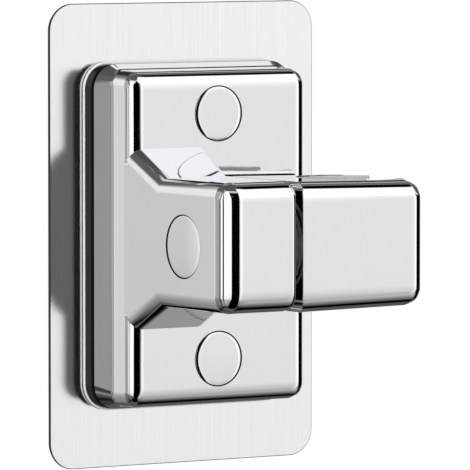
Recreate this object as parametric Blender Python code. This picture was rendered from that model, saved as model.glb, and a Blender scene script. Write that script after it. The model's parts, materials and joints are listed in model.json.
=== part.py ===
"""Wall holder for a hand shower: a chromed arm and swivelling socket on an adhesive steel plate.

Metres, +Z up. The origin is the middle of the adhesive pad's back, which lies on the wall,
and the front faces -Y. Every piece is modelled in the wall's own frame, which an empty turns
upright: x to the right, y up and z straight out of the wall.
"""
import math

import bmesh
import bpy
from mathutils import Euler, Matrix

MM = 0.001

# Clearance between pieces that touch, and between a hole and what passes through it
FIT = 0.3 * MM

# Steel plate and the adhesive pad behind it
PLATE_W = 84.2 * MM
PLATE_H = 125.0 * MM
PLATE_T = 0.8 * MM
PLATE_CORNER_R = 7.2 * MM
PAD_T = 1.0 * MM
PAD_MARGIN = 0.6 * MM

# Base: the seal, the rear frame and the cover that is part of the shell
BASE_W = 62.6 * MM
BASE_H = 92.6 * MM
BASE_CORNER_R = 6.8 * MM
GASKET_T = 0.8 * MM
GASKET_BAND = 4.0 * MM
FRAME_T = 3.3 * MM
LIP_H = 2.2 * MM
LIP_T = 1.4 * MM
TAPER_H = 5.1 * MM
TAPER_IN = 3.0 * MM
COVER_H = 7.8 * MM
COVER_CORNER_R = 4.2 * MM
COVER_EDGE_R = 2.5 * MM
WALL = 2.4 * MM

# Arm, which grows out of the cover's left side a little below its middle, and its flared root
ARM_W = 23.3 * MM
ARM_H = 33.8 * MM
ARM_DROP = 0.4 * MM
ARM_REACH = 46.3 * MM
ARM_EDGE_R = 4.2 * MM
ARM_INNER_EDGE_R = 1.0 * MM
ROOT_H = 47.4 * MM
ROOT_W = 24.6 * MM
ROOT_REACH = 13.8 * MM

# Studs on the plate, with their washers, nuts and caps
STUD_PITCH = 66.0 * MM
STUD_D = 5.0 * MM
STUD_FLANGE_D = 10.0 * MM
STUD_FLANGE_T = 0.8 * MM
STUD_SPARE = 0.6 * MM
STUD_WASHER_D = 10.0 * MM
STUD_WASHER_T = 1.0 * MM
STUD_NUT_FLATS = 8.0 * MM
STUD_NUT_H = 4.0 * MM
STUD_SEAT_H = 4.0 * MM
SCREW_CAP_D = 14.5 * MM
SIDE_CAP_D = 16.4 * MM
CAP_T = 1.5 * MM
CAP_SKIRT_T = 1.1 * MM
CAP_EDGE_R = 0.3 * MM
BOSS_WALL = 2.0 * MM

# Screws that hold the rear frame in the shell
FRAME_SCREW_MARGIN = 10.3 * MM
FRAME_SCREW_D = 2.9 * MM
FRAME_SCREW_LENGTH = 9.0 * MM
FRAME_SCREW_HEAD_D = 5.5 * MM
FRAME_SCREW_HEAD_H = 1.5 * MM
POST_WALL = 1.8 * MM

# Friction swivel across the arm
PIVOT_SETBACK = 19.6 * MM
PIVOT_SCREW_D = 6.0 * MM
PIVOT_HEAD_D = 11.5 * MM
PIVOT_HEAD_H = 3.6 * MM
PIVOT_KEY_FLATS = 5.0 * MM
PIVOT_KEY_H = 2.2 * MM
PIVOT_WASHER_D = 13.6 * MM
PIVOT_WASHER_T = 1.2 * MM
SPRING_T = 0.8 * MM
SPRING_RISE = 0.6 * MM
BUSH_WALL = 1.7 * MM
BUSH_FLANGE_T = 1.2 * MM
BUSH_SEAT_T = 7.3 * MM
SIDE_CAP_DEPTH = 6.0 * MM
FRICTION_DISC_D = 26.0 * MM
FRICTION_DISC_T = 1.2 * MM
INSERT_WALL = 2.0 * MM
INSERT_LENGTH = 6.6 * MM

# Socket block and its liner
BLOCK_W = 38.3 * MM
BLOCK_DEPTH = 39.0 * MM
BLOCK_H = 34.3 * MM
BLOCK_TIP_H = 33.1 * MM
BLOCK_EDGE_R = 4.3 * MM
BLOCK_INNER_EDGE_R = 1.0 * MM
BORE_X = 24.5 * MM
CONE_TOP_D = 24.0 * MM
CONE_BOTTOM_D = 20.6 * MM
LINER_T = 1.5 * MM
RIM_T = 1.0 * MM
RIM_W = 0.8 * MM
NOTCH_W = 2.0 * MM
NOTCH_COUNT = 8
SLOT_W = 16.0 * MM

# Fineness of round shapes, and the angle above which an edge is shaded sharp
ROUND_STEPS = 24
LARGE_STEPS = 2 * ROUND_STEPS
SCREW_STEPS = 16
CORNER_STEPS = 5
EDGE_STEPS = 4
SHARP_ANGLE = math.radians(35)

# The smallest radius that a drawn-in corner keeps, and how far a cutter runs past a face
LEAST_R = 0.2 * MM
OVERSHOOT = 1.0 * MM

# Turns of round pieces, whose own axis is local z
STRAIGHT = (0.0, 0.0, 0.0)
ALONG_X = (0.0, math.pi / 2, 0.0)
UPRIGHT = (-math.pi / 2, 0.0, 0.0)

# Places along the wall's normal, from the wall outwards
PLATE_BACK = PAD_T + FIT
PLATE_FRONT = PLATE_BACK + PLATE_T
GASKET_BACK = PLATE_FRONT + FIT
FRAME_BACK = GASKET_BACK + GASKET_T + FIT
FRAME_FRONT = FRAME_BACK + FRAME_T
COVER_BACK = FRAME_FRONT + FIT
COVER_FRONT = COVER_BACK + TAPER_H + COVER_H
ARM_FRONT = COVER_FRONT + ARM_REACH
PIVOT_OUT = ARM_FRONT - PIVOT_SETBACK
LIP_FRONT = FRAME_FRONT + LIP_H
STUD_SEAT = COVER_BACK + STUD_SEAT_H
FRAME_SCREW_TOP = FRAME_BACK + FIT + FRAME_SCREW_HEAD_H

# Places across the front, from left to right
ARM_LEFT = TAPER_IN - BASE_W / 2
ARM_RIGHT = ARM_LEFT + ARM_W
CAP_SEAT = ARM_LEFT + SIDE_CAP_DEPTH
BUSH_SEAT = ARM_RIGHT - BUSH_SEAT_T
BLOCK_LEFT = ARM_RIGHT + FRICTION_DISC_T + 2 * FIT
BLOCK_RIGHT = BLOCK_LEFT + BLOCK_W
INSERT_START = BLOCK_LEFT + FIT
INSERT_END = INSERT_START + INSERT_LENGTH

# Places round the pivot's line: the block's middle ahead of it, and the liner's rim above it
BLOCK_AHEAD = ARM_FRONT - BLOCK_DEPTH / 2 - PIVOT_OUT
RIM_TOP = BLOCK_TIP_H / 2

# Radii of bores, and of what they pass through
STUD_HOLE_R = STUD_D / 2 + FIT
FRAME_SCREW_HOLE_R = FRAME_SCREW_D / 2 + FIT
PIVOT_HOLE_R = PIVOT_SCREW_D / 2 + FIT
BOSS_R = SCREW_CAP_D / 2 + FIT + BOSS_WALL
BARREL_R = SIDE_CAP_D / 2 + FIT + BOSS_WALL
POST_R = FRAME_SCREW_HOLE_R + POST_WALL
BUSH_OUTER_R = PIVOT_HOLE_R + BUSH_WALL
INSERT_OUTER_R = PIVOT_HOLE_R + INSERT_WALL

# Fasteners, each with its place on the base
STUDS = (("upper_stud", STUD_PITCH / 2), ("lower_stud", -STUD_PITCH / 2))
FRAME_SCREW_X = BASE_W / 2 - FRAME_SCREW_MARGIN
FRAME_SCREW_Y = BASE_H / 2 - FRAME_SCREW_MARGIN
FRAME_SCREWS = (
    ("frame_screw_upper_left", -FRAME_SCREW_X, FRAME_SCREW_Y),
    ("frame_screw_upper_right", FRAME_SCREW_X, FRAME_SCREW_Y),
    ("frame_screw_lower_left", -FRAME_SCREW_X, -FRAME_SCREW_Y),
    ("frame_screw_lower_right", FRAME_SCREW_X, -FRAME_SCREW_Y),
)


def clear_scene():
    for item in list(bpy.data.objects):
        bpy.data.objects.remove(item, do_unlink=True)


def finish(name, colour, metallic, roughness):
    material = bpy.data.materials.new(name)
    material.use_nodes = True
    shader = material.node_tree.nodes["Principled BSDF"]
    shader.inputs["Base Color"].default_value = (*colour, 1.0)
    shader.inputs["Metallic"].default_value = metallic
    shader.inputs["Roughness"].default_value = roughness
    return material


def add_frame(name, place=(0.0, 0.0, 0.0), turn=(0.0, 0.0, 0.0), parent=None):
    """An empty that carries pieces: the wall's frame, or a joint's axis."""
    frame = bpy.data.objects.new(name, None)
    bpy.context.scene.collection.objects.link(frame)
    frame.parent = parent
    frame.location = place
    frame.rotation_euler = turn
    return frame


def add_piece(name, shape, material, parent, place=(0.0, 0.0, 0.0), turn=(0.0, 0.0, 0.0)):
    bmesh.ops.recalc_face_normals(shape, faces=shape.faces)
    mesh = bpy.data.meshes.new(name)
    shape.to_mesh(mesh)
    shape.free()
    mesh.materials.append(material)
    mesh.shade_smooth()
    mesh.set_sharp_from_angle(angle=SHARP_ANGLE)
    piece = bpy.data.objects.new(name, mesh)
    bpy.context.scene.collection.objects.link(piece)
    piece.parent = parent
    piece.location = place
    piece.rotation_euler = turn
    return piece


def combine(piece, other, operation):
    """Joins another shape to a piece, or cuts it away, and keeps it as a hidden helper."""
    other.hide_render = True
    other.display_type = "WIRE"
    boolean = piece.modifiers.new(other.name, "BOOLEAN")
    boolean.operation = operation
    boolean.solver = "EXACT"
    boolean.object = other


def rounded_outline(left, right, bottom, top, left_radius, right_radius):
    """Points round a rectangle, with one corner radius on its left side and one on its right."""
    corners = (
        (right - right_radius, top - right_radius, right_radius, 0),
        (left + left_radius, top - left_radius, left_radius, 90),
        (left + left_radius, bottom + left_radius, left_radius, 180),
        (right - right_radius, bottom + right_radius, right_radius, 270),
    )
    points = []
    for x, y, radius, start in corners:
        for step in range(CORNER_STEPS + 1):
            angle = math.radians(start + 90 * step / CORNER_STEPS)
            points.append((x + radius * math.cos(angle), y + radius * math.sin(angle)))
    return points


def centred_outline(width, height, radius):
    return rounded_outline(-width / 2, width / 2, -height / 2, height / 2, radius, radius)


def lofted(sections):
    """A solid through closed sections with equal numbers of points."""
    shape = bmesh.new()
    rings = [[shape.verts.new(point) for point in section] for section in sections]
    for ring, following in zip(rings, rings[1:]):
        for index in range(len(ring)):
            after = (index + 1) % len(ring)
            shape.faces.new((ring[index], ring[after], following[after], following[index]))
    shape.faces.new(rings[0])
    shape.faces.new(rings[-1])
    return shape


def extruded(outline, back, front):
    return lofted([[(x, y, level) for x, y in outline] for level in (back, front)])


def pierced(outer, inner, back, front):
    """A flat ring between two outlines with equal numbers of points."""
    shape = bmesh.new()
    rings = []
    for outline, level in ((outer, back), (outer, front), (inner, front), (inner, back)):
        rings.append([shape.verts.new((x, y, level)) for x, y in outline])
    for ring, following in zip(rings, rings[1:] + rings[:1]):
        for index in range(len(ring)):
            after = (index + 1) % len(ring)
            shape.faces.new((ring[index], ring[after], following[after], following[index]))
    return shape


def turned(profile, steps=ROUND_STEPS):
    """Spins (radius, height) points about local z. A profile off the axis closes on itself."""
    shape = bmesh.new()
    points = [shape.verts.new((radius, 0.0, height)) for radius, height in profile]
    pairs = list(zip(points, points[1:]))
    if profile[0][0] > 0.0:
        pairs.append((points[-1], points[0]))
    edges = [shape.edges.new(pair) for pair in pairs]
    bmesh.ops.spin(shape, geom=points + edges, cent=(0, 0, 0), axis=(0, 0, 1),
                   angle=math.tau, steps=steps)
    bmesh.ops.remove_doubles(shape, verts=shape.verts, dist=0.001 * MM)
    return shape


def rod(radius, start, end, steps=ROUND_STEPS):
    return turned([(0.0, start), (radius, start), (radius, end), (0.0, end)], steps)


def washer(outer, inner, start, end):
    return turned([(inner, start), (outer, start), (outer, end), (inner, end)])


def stepped_bore(start, start_radius, step_level, end_radius, end, steps):
    """A cutter whose radius changes once on its way."""
    return turned([(0.0, start), (start_radius, start), (start_radius, step_level),
                   (end_radius, step_level), (end_radius, end), (0.0, end)], steps)


def gathered(placed_shapes):
    """One shape from several that lie apart, each given with its place and turn."""
    whole = bmesh.new()
    for shape, place, turn in placed_shapes:
        matrix = Matrix.Translation(place) @ Euler(turn).to_matrix().to_4x4()
        bmesh.ops.recalc_face_normals(shape, faces=shape.faces)
        bmesh.ops.transform(shape, matrix=matrix, verts=shape.verts)
        mesh = bpy.data.meshes.new("gathered")
        shape.to_mesh(mesh)
        shape.free()
        whole.from_mesh(mesh)
        bpy.data.meshes.remove(mesh)
    return whole


def edge_curve(radius, steps=EDGE_STEPS):
    """(inset, rise) pairs of a quarter round, from the straight wall to the flat face."""
    curve = []
    for step in range(steps + 1):
        angle = math.pi / 2 * step / steps
        curve.append((radius * (1 - math.cos(angle)), radius * math.sin(angle)))
    return curve


def add_plate_and_pad():
    pad_outline = centred_outline(PLATE_W - 2 * PAD_MARGIN, PLATE_H - 2 * PAD_MARGIN,
                                  PLATE_CORNER_R - PAD_MARGIN)
    add_piece("adhesive_pad", extruded(pad_outline, 0.0, PAD_T), FOAM, WALL_FRAME)
    plate_outline = centred_outline(PLATE_W, PLATE_H, PLATE_CORNER_R)
    add_piece("mounting_plate", extruded(plate_outline, PLATE_BACK, PLATE_FRONT), STEEL_SHEET, WALL_FRAME)


def add_gasket():
    outer = centred_outline(BASE_W, BASE_H, BASE_CORNER_R)
    inner = centred_outline(BASE_W - 2 * GASKET_BAND, BASE_H - 2 * GASKET_BAND,
                            BASE_CORNER_R - GASKET_BAND)
    add_piece("base_gasket", pierced(outer, inner, GASKET_BACK, GASKET_BACK + GASKET_T), PALE_RUBBER,
              WALL_FRAME)


def add_rear_frame():
    slab = extruded(centred_outline(BASE_W, BASE_H, BASE_CORNER_R), FRAME_BACK, FRAME_FRONT)
    frame = add_piece("rear_frame", slab, DARK_PLASTIC, WALL_FRAME)
    shrink = WALL + FIT + TAPER_IN * (LIP_FRONT - COVER_BACK) / TAPER_H
    radius = max(BASE_CORNER_R - shrink, LEAST_R)
    outer = centred_outline(BASE_W - 2 * shrink, BASE_H - 2 * shrink, radius)
    shrink += LIP_T
    inner = centred_outline(BASE_W - 2 * shrink, BASE_H - 2 * shrink, max(radius - LIP_T, LEAST_R))
    lip = pierced(outer, inner, FRAME_FRONT - FRAME_T / 2, LIP_FRONT)
    combine(frame, add_piece("frame_lip", lip, DARK_PLASTIC, WALL_FRAME), "UNION")
    bores = []
    back = FRAME_BACK - OVERSHOOT
    front = LIP_FRONT + OVERSHOOT
    recess = FRAME_SCREW_HEAD_D / 2 + FIT
    under_head = FRAME_SCREW_TOP + FIT
    for _, x, y in FRAME_SCREWS:
        bore = stepped_bore(back, recess, under_head, FRAME_SCREW_HOLE_R, front, SCREW_STEPS)
        bores.append((bore, (x, y, 0.0), STRAIGHT))
    for _, y in STUDS:
        bore = stepped_bore(back, STUD_HOLE_R, FRAME_FRONT - FIT, BOSS_R + FIT, front, LARGE_STEPS)
        bores.append((bore, (0.0, y, 0.0), STRAIGHT))
    combine(frame, add_piece("frame_bores", gathered(bores), DARK_PLASTIC, WALL_FRAME), "DIFFERENCE")


def cover_sections(inset, back, front):
    """The cover's sections from back to front, drawn in by a wall's thickness for its hollow."""
    def section(shrink, radius, level):
        outline = centred_outline(BASE_W - 2 * shrink, BASE_H - 2 * shrink, radius)
        return [(x, y, level) for x, y in outline]

    slope = TAPER_IN / TAPER_H
    front_radius = max(COVER_CORNER_R - inset, LEAST_R)
    edge = max(COVER_EDGE_R - inset, 0.0)
    sections = [section(inset - slope * (COVER_BACK - back), max(BASE_CORNER_R - inset, LEAST_R), back)]
    sections.append(section(inset + TAPER_IN, front_radius, COVER_BACK + TAPER_H))
    for drawn, rise in edge_curve(edge):
        sections.append(section(inset + TAPER_IN + drawn, max(front_radius - drawn, LEAST_R),
                                front - edge + rise))
    return sections


def arm_sections(inset, back, front):
    """The arm's sections from its flared root to its front, drawn in by a wall for its hollow."""
    def section(right, height, drawn, drawn_right, level):
        half = height / 2 - inset - drawn
        outline = rounded_outline(ARM_LEFT + inset + drawn, right - inset - drawn_right,
                                  -half - ARM_DROP, half - ARM_DROP,
                                  max(ARM_EDGE_R - inset - drawn, LEAST_R),
                                  max(ARM_INNER_EDGE_R - inset - drawn_right, LEAST_R))
        return [(x, y, level) for x, y in outline]

    edge = max(ARM_EDGE_R - inset, 0.0)
    inner_edge = max(ARM_INNER_EDGE_R - inset, 0.0)
    root_right = ARM_LEFT + ROOT_W
    sections = [section(root_right, ROOT_H, 0.0, 0.0, back)]
    sections.append(section(root_right, ROOT_H, 0.0, 0.0, COVER_FRONT))
    sections.append(section(ARM_RIGHT, ARM_H, 0.0, 0.0, COVER_FRONT + ROOT_REACH))
    for (drawn, rise), (drawn_right, _) in zip(edge_curve(edge), edge_curve(inner_edge)):
        sections.append(section(ARM_RIGHT, ARM_H, drawn, drawn_right, front - edge + rise))
    return sections


def add_body_shell():
    shell = add_piece("body_shell", lofted(cover_sections(0.0, COVER_BACK, COVER_FRONT)), CHROME,
                      WALL_FRAME)
    arm_start = COVER_FRONT - COVER_EDGE_R - WALL
    arm = add_piece("arm_outside", lofted(arm_sections(0.0, arm_start, ARM_FRONT)), CHROME, WALL_FRAME)
    combine(shell, arm, "UNION")
    hollow = cover_sections(WALL, COVER_BACK - OVERSHOOT, COVER_FRONT - WALL)
    combine(shell, add_piece("cover_hollow", lofted(hollow), CHROME, WALL_FRAME), "DIFFERENCE")
    hollow = arm_sections(WALL, COVER_FRONT - 2 * WALL, ARM_FRONT - WALL)
    combine(shell, add_piece("arm_hollow", lofted(hollow), CHROME, WALL_FRAME), "DIFFERENCE")

    pivot_place = (0.0, -ARM_DROP, PIVOT_OUT)
    inside_front = COVER_FRONT - WALL / 2
    stiffeners = []
    for _, y in STUDS:
        stiffeners.append((rod(BOSS_R, COVER_BACK, inside_front, LARGE_STEPS), (0.0, y, 0.0), STRAIGHT))
    for _, x, y in FRAME_SCREWS:
        stiffeners.append((rod(POST_R, COVER_BACK, inside_front, SCREW_STEPS), (x, y, 0.0), STRAIGHT))
    barrel = rod(BARREL_R, ARM_LEFT + WALL / 2, ARM_RIGHT - WALL / 2, LARGE_STEPS)
    stiffeners.append((barrel, pivot_place, ALONG_X))
    combine(shell, add_piece("shell_bosses", gathered(stiffeners), CHROME, WALL_FRAME), "UNION")

    bores = []
    back = COVER_BACK - OVERSHOOT
    for _, y in STUDS:
        bore = stepped_bore(back, STUD_HOLE_R, STUD_SEAT, SCREW_CAP_D / 2 + FIT, COVER_FRONT + OVERSHOOT,
                            LARGE_STEPS)
        bores.append((bore, (0.0, y, 0.0), STRAIGHT))
    pilot_end = FRAME_SCREW_TOP + FRAME_SCREW_LENGTH + FIT
    for _, x, y in FRAME_SCREWS:
        bores.append((rod(FRAME_SCREW_HOLE_R, back, pilot_end, SCREW_STEPS), (x, y, 0.0), STRAIGHT))
    cup = SIDE_CAP_D / 2 + FIT
    stack = PIVOT_WASHER_D / 2 + FIT
    bush = BUSH_OUTER_R + FIT
    left = ARM_LEFT - OVERSHOOT
    right = ARM_RIGHT + OVERSHOOT
    bore = turned([(0.0, left), (cup, left), (cup, CAP_SEAT), (stack, CAP_SEAT), (stack, BUSH_SEAT),
                   (bush, BUSH_SEAT), (bush, right), (0.0, right)], LARGE_STEPS)
    bores.append((bore, pivot_place, ALONG_X))
    combine(shell, add_piece("shell_bores", gathered(bores), CHROME, WALL_FRAME), "DIFFERENCE")


def add_stud_sets():
    """A welded stud, washer, nut and snap-in cap above and below the arm."""
    for name, y in STUDS:
        shank = STUD_D / 2
        washer_start = STUD_SEAT + FIT
        nut_start = washer_start + STUD_WASHER_T + FIT
        nut_end = nut_start + STUD_NUT_H
        flange_end = PLATE_FRONT + FIT + STUD_FLANGE_T
        stud = turned([(0.0, PLATE_FRONT + FIT), (STUD_FLANGE_D / 2, PLATE_FRONT + FIT),
                       (STUD_FLANGE_D / 2, flange_end), (shank, flange_end),
                       (shank, nut_end + STUD_SPARE - FIT), (shank - FIT, nut_end + STUD_SPARE),
                       (0.0, nut_end + STUD_SPARE)])
        add_piece(name, stud, STEEL, WALL_FRAME, (0.0, y, 0.0))
        ring = washer(STUD_WASHER_D / 2, STUD_HOLE_R, washer_start, washer_start + STUD_WASHER_T)
        add_piece(name + "_washer", ring, STEEL, WALL_FRAME, (0.0, y, 0.0))
        nut = pierced(hexagon(STUD_NUT_FLATS), circle(STUD_HOLE_R), nut_start, nut_end)
        add_piece(name + "_nut", nut, STEEL, WALL_FRAME, (0.0, y, 0.0))
        cap = snap_cap(SCREW_CAP_D / 2, STUD_SEAT + FIT, COVER_FRONT)
        add_piece(name.replace("stud", "screw_cap"), cap, CHROME, WALL_FRAME, (0.0, y, 0.0))


def hexagon(flats):
    """Points round a hexagon, as many as a circle has, with one at each corner."""
    points = []
    for step in range(ROUND_STEPS - ROUND_STEPS % 6):
        angle = math.tau * step / (ROUND_STEPS - ROUND_STEPS % 6)
        nearest = math.radians(60) * (math.floor(angle / math.radians(60)) + 0.5)
        radius = flats / 2 / math.cos(angle - nearest)
        points.append((radius * math.cos(angle), radius * math.sin(angle)))
    return points


def circle(radius):
    count = ROUND_STEPS - ROUND_STEPS % 6
    angles = [math.tau * step / count for step in range(count)]
    return [(radius * math.cos(angle), radius * math.sin(angle)) for angle in angles]


def snap_cap(radius, skirt_end, face):
    """A round cap with a skirt, its flat face outwards and that face's edge lightly rounded."""
    outwards = math.copysign(1.0, face - skirt_end)
    under = face - outwards * CAP_T
    inner = radius - CAP_SKIRT_T
    return turned([(0.0, under), (inner, under), (inner, skirt_end), (radius, skirt_end),
                   (radius, face - outwards * CAP_EDGE_R), (radius - CAP_EDGE_R, face), (0.0, face)],
                  LARGE_STEPS)


def add_frame_screws():
    for name, x, y in FRAME_SCREWS:
        shank = FRAME_SCREW_D / 2
        head = FRAME_SCREW_HEAD_D / 2
        head_back = FRAME_SCREW_TOP - FRAME_SCREW_HEAD_H
        end = FRAME_SCREW_TOP + FRAME_SCREW_LENGTH
        screw = turned([(0.0, head_back), (head, head_back), (head, FRAME_SCREW_TOP),
                        (shank, FRAME_SCREW_TOP), (shank, end - shank), (shank / 2, end), (0.0, end)],
                       SCREW_STEPS)
        add_piece(name, screw, STEEL, WALL_FRAME, (x, y, 0.0))


def add_pivot_parts():
    """The friction swivel, from the side cap on the left to the insert in the block."""
    flange_start = BUSH_SEAT - FIT - BUSH_FLANGE_T
    spring_start = flange_start - FIT - SPRING_T - SPRING_RISE
    washer_start = spring_start - FIT - PIVOT_WASHER_T
    head_end = washer_start - FIT
    head_start = head_end - PIVOT_HEAD_H
    hole = PIVOT_HOLE_R
    stack = PIVOT_WASHER_D / 2

    add_piece("side_cap", snap_cap(SIDE_CAP_D / 2, CAP_SEAT - FIT, ARM_LEFT), CHROME, PIVOT_LINE,
              turn=ALONG_X)
    bush = turned([(hole, flange_start), (stack, flange_start), (stack, flange_start + BUSH_FLANGE_T),
                   (BUSH_OUTER_R, flange_start + BUSH_FLANGE_T), (BUSH_OUTER_R, ARM_RIGHT),
                   (hole, ARM_RIGHT)])
    add_piece("pivot_bush", bush, WHITE_ACETAL, PIVOT_LINE, turn=ALONG_X)

    screw_end = INSERT_END - FIT
    shank = PIVOT_SCREW_D / 2
    screw = turned([(0.0, head_start), (PIVOT_HEAD_D / 2, head_start), (PIVOT_HEAD_D / 2, head_end),
                    (shank, head_end), (shank, screw_end - shank / 3), (shank * 2 / 3, screw_end),
                    (0.0, screw_end)])
    screw = add_piece("pivot_screw", screw, STEEL, SOCKET_FRAME, turn=ALONG_X)
    key = extruded(hexagon(PIVOT_KEY_FLATS), head_start - OVERSHOOT, head_start + PIVOT_KEY_H)
    combine(screw, add_piece("key_socket", key, STEEL, SOCKET_FRAME, turn=ALONG_X), "DIFFERENCE")
    add_piece("pivot_washer", washer(stack, hole, washer_start, washer_start + PIVOT_WASHER_T), STEEL,
              SOCKET_FRAME, turn=ALONG_X)
    spring = turned([(hole, spring_start), (stack, spring_start + SPRING_RISE),
                     (stack, spring_start + SPRING_RISE + SPRING_T), (hole, spring_start + SPRING_T)])
    add_piece("pivot_spring", spring, SPRING_STEEL, SOCKET_FRAME, turn=ALONG_X)
    disc = washer(FRICTION_DISC_D / 2, hole, ARM_RIGHT + FIT, ARM_RIGHT + FIT + FRICTION_DISC_T)
    add_piece("friction_disc", disc, WHITE_ACETAL, SOCKET_FRAME, turn=ALONG_X)
    insert = washer(INSERT_OUTER_R, hole, INSERT_START, INSERT_END)
    add_piece("pivot_insert", insert, BRASS, SOCKET_FRAME, turn=ALONG_X)


def add_socket_block():
    """The block is drawn through sections along x, each an upright rectangle round the axis."""
    draft = (BLOCK_H - BLOCK_TIP_H) / 2 / BLOCK_W
    back = BLOCK_AHEAD - BLOCK_DEPTH / 2
    front = BLOCK_AHEAD + BLOCK_DEPTH / 2

    def section(drawn, x):
        radius = max(BLOCK_EDGE_R - drawn, LEAST_R)
        half = BLOCK_H / 2 - draft * (x - BLOCK_LEFT) - drawn
        outline = rounded_outline(back + drawn, front - drawn, -half, half, radius, radius)
        return [(x, y, z) for z, y in outline]

    sections = []
    for drawn, rise in reversed(edge_curve(BLOCK_INNER_EDGE_R)):
        sections.append(section(drawn, BLOCK_LEFT + BLOCK_INNER_EDGE_R - rise))
    for drawn, rise in edge_curve(BLOCK_EDGE_R):
        sections.append(section(drawn, BLOCK_RIGHT - BLOCK_EDGE_R + rise))
    block = add_piece("socket_block", lofted(sections), CHROME, SOCKET_FRAME)

    reach = BLOCK_H / 2 + OVERSHOOT
    clear = LINER_T + FIT
    recess = cone_radius(RIM_TOP) + clear + RIM_W
    seat = RIM_TOP - RIM_T - FIT
    bore = turned([(0.0, -reach), (cone_radius(-reach) + clear, -reach), (cone_radius(seat) + clear, seat),
                   (recess, seat), (recess, reach), (0.0, reach)], LARGE_STEPS)
    bore = add_piece("block_bore", bore, CHROME, SOCKET_FRAME, (BORE_X, 0.0, BLOCK_AHEAD), UPRIGHT)
    combine(block, bore, "DIFFERENCE")
    slot = slot_cutter(BLOCK_RIGHT + OVERSHOOT, reach)
    combine(block, add_piece("block_slot", slot, CHROME, SOCKET_FRAME), "DIFFERENCE")
    pocket = rod(INSERT_OUTER_R + FIT, BLOCK_LEFT - OVERSHOOT, INSERT_END + FIT)
    pocket = add_piece("insert_pocket", pocket, CHROME, SOCKET_FRAME, turn=ALONG_X)
    combine(block, pocket, "DIFFERENCE")


def cone_radius(level):
    """Inner radius of the liner at a height above or below the pivot's axis."""
    slope = (CONE_TOP_D - CONE_BOTTOM_D) / 2 / BLOCK_H
    return (CONE_TOP_D + CONE_BOTTOM_D) / 4 + slope * level


def slot_cutter(end, reach):
    """The hose slot, from the bore's middle to the right."""
    outline = [(BORE_X, -reach), (end, -reach), (end, reach), (BORE_X, reach)]
    return extruded(outline, BLOCK_AHEAD - SLOT_W / 2, BLOCK_AHEAD + SLOT_W / 2)


def add_socket_liner():
    """A tapered C-shaped sleeve with a notched rim, open on the slot's side."""
    bottom = -RIM_TOP
    under_rim = RIM_TOP - RIM_T
    rim = cone_radius(RIM_TOP) + LINER_T + RIM_W
    profile = [(cone_radius(bottom), bottom), (cone_radius(bottom) + LINER_T, bottom),
               (cone_radius(under_rim) + LINER_T, under_rim), (rim, under_rim), (rim, RIM_TOP),
               (cone_radius(RIM_TOP), RIM_TOP)]
    place = (BORE_X, 0.0, BLOCK_AHEAD)
    liner = add_piece("socket_liner", turned(profile, LARGE_STEPS), GREY_RUBBER, SOCKET_FRAME, place,
                      UPRIGHT)
    reach = RIM_TOP + OVERSHOOT
    slot = slot_cutter(BORE_X + rim + OVERSHOOT, reach)
    combine(liner, add_piece("liner_slot", slot, GREY_RUBBER, SOCKET_FRAME), "DIFFERENCE")
    outer = rim + OVERSHOOT
    inner = rim - RIM_W
    half = NOTCH_W / 2
    for index in range(NOTCH_COUNT):
        angle = math.tau * (index + 0.5) / NOTCH_COUNT
        beside_slot = math.cos(angle) > 0.0 and abs(rim * math.sin(angle)) < SLOT_W / 2 + NOTCH_W
        if beside_slot:
            continue
        notch = extruded([(inner, -half), (outer, -half), (outer, half), (inner, half)],
                         under_rim - OVERSHOOT, reach)
        notch = add_piece(f"rim_notch_{index}", notch, GREY_RUBBER, SOCKET_FRAME, place,
                          (UPRIGHT[0], angle, UPRIGHT[2]))
        combine(liner, notch, "DIFFERENCE")


clear_scene()

CHROME = finish("chrome plated plastic", (0.82, 0.83, 0.85), 1.0, 0.06)
STEEL_SHEET = finish("brushed stainless sheet", (0.74, 0.75, 0.76), 1.0, 0.32)
STEEL = finish("stainless steel", (0.62, 0.62, 0.64), 1.0, 0.28)
SPRING_STEEL = finish("spring steel", (0.35, 0.36, 0.38), 1.0, 0.35)
BRASS = finish("brass", (0.78, 0.60, 0.28), 1.0, 0.30)
DARK_PLASTIC = finish("dark moulded plastic", (0.05, 0.05, 0.055), 0.0, 0.45)
WHITE_ACETAL = finish("white acetal", (0.85, 0.85, 0.84), 0.0, 0.40)
PALE_RUBBER = finish("pale seal rubber", (0.80, 0.81, 0.82), 0.0, 0.55)
GREY_RUBBER = finish("grey liner rubber", (0.30, 0.31, 0.32), 0.0, 0.60)
FOAM = finish("adhesive foam", (0.12, 0.12, 0.13), 0.0, 0.85)

WALL_FRAME = add_frame("wall_frame", turn=(math.pi / 2, 0.0, 0.0))
PIVOT_LINE = add_frame("pivot_line", (0.0, -ARM_DROP, PIVOT_OUT), parent=WALL_FRAME)
SOCKET_FRAME = add_frame("socket_frame", (0.0, -ARM_DROP, PIVOT_OUT), parent=WALL_FRAME)

add_plate_and_pad()
add_gasket()
add_rear_frame()
add_body_shell()
add_stud_sets()
add_frame_screws()
add_pivot_parts()
add_socket_block()
add_socket_liner()
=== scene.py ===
import json
import math

import bmesh
import bpy
from mathutils import Matrix, Vector


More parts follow.
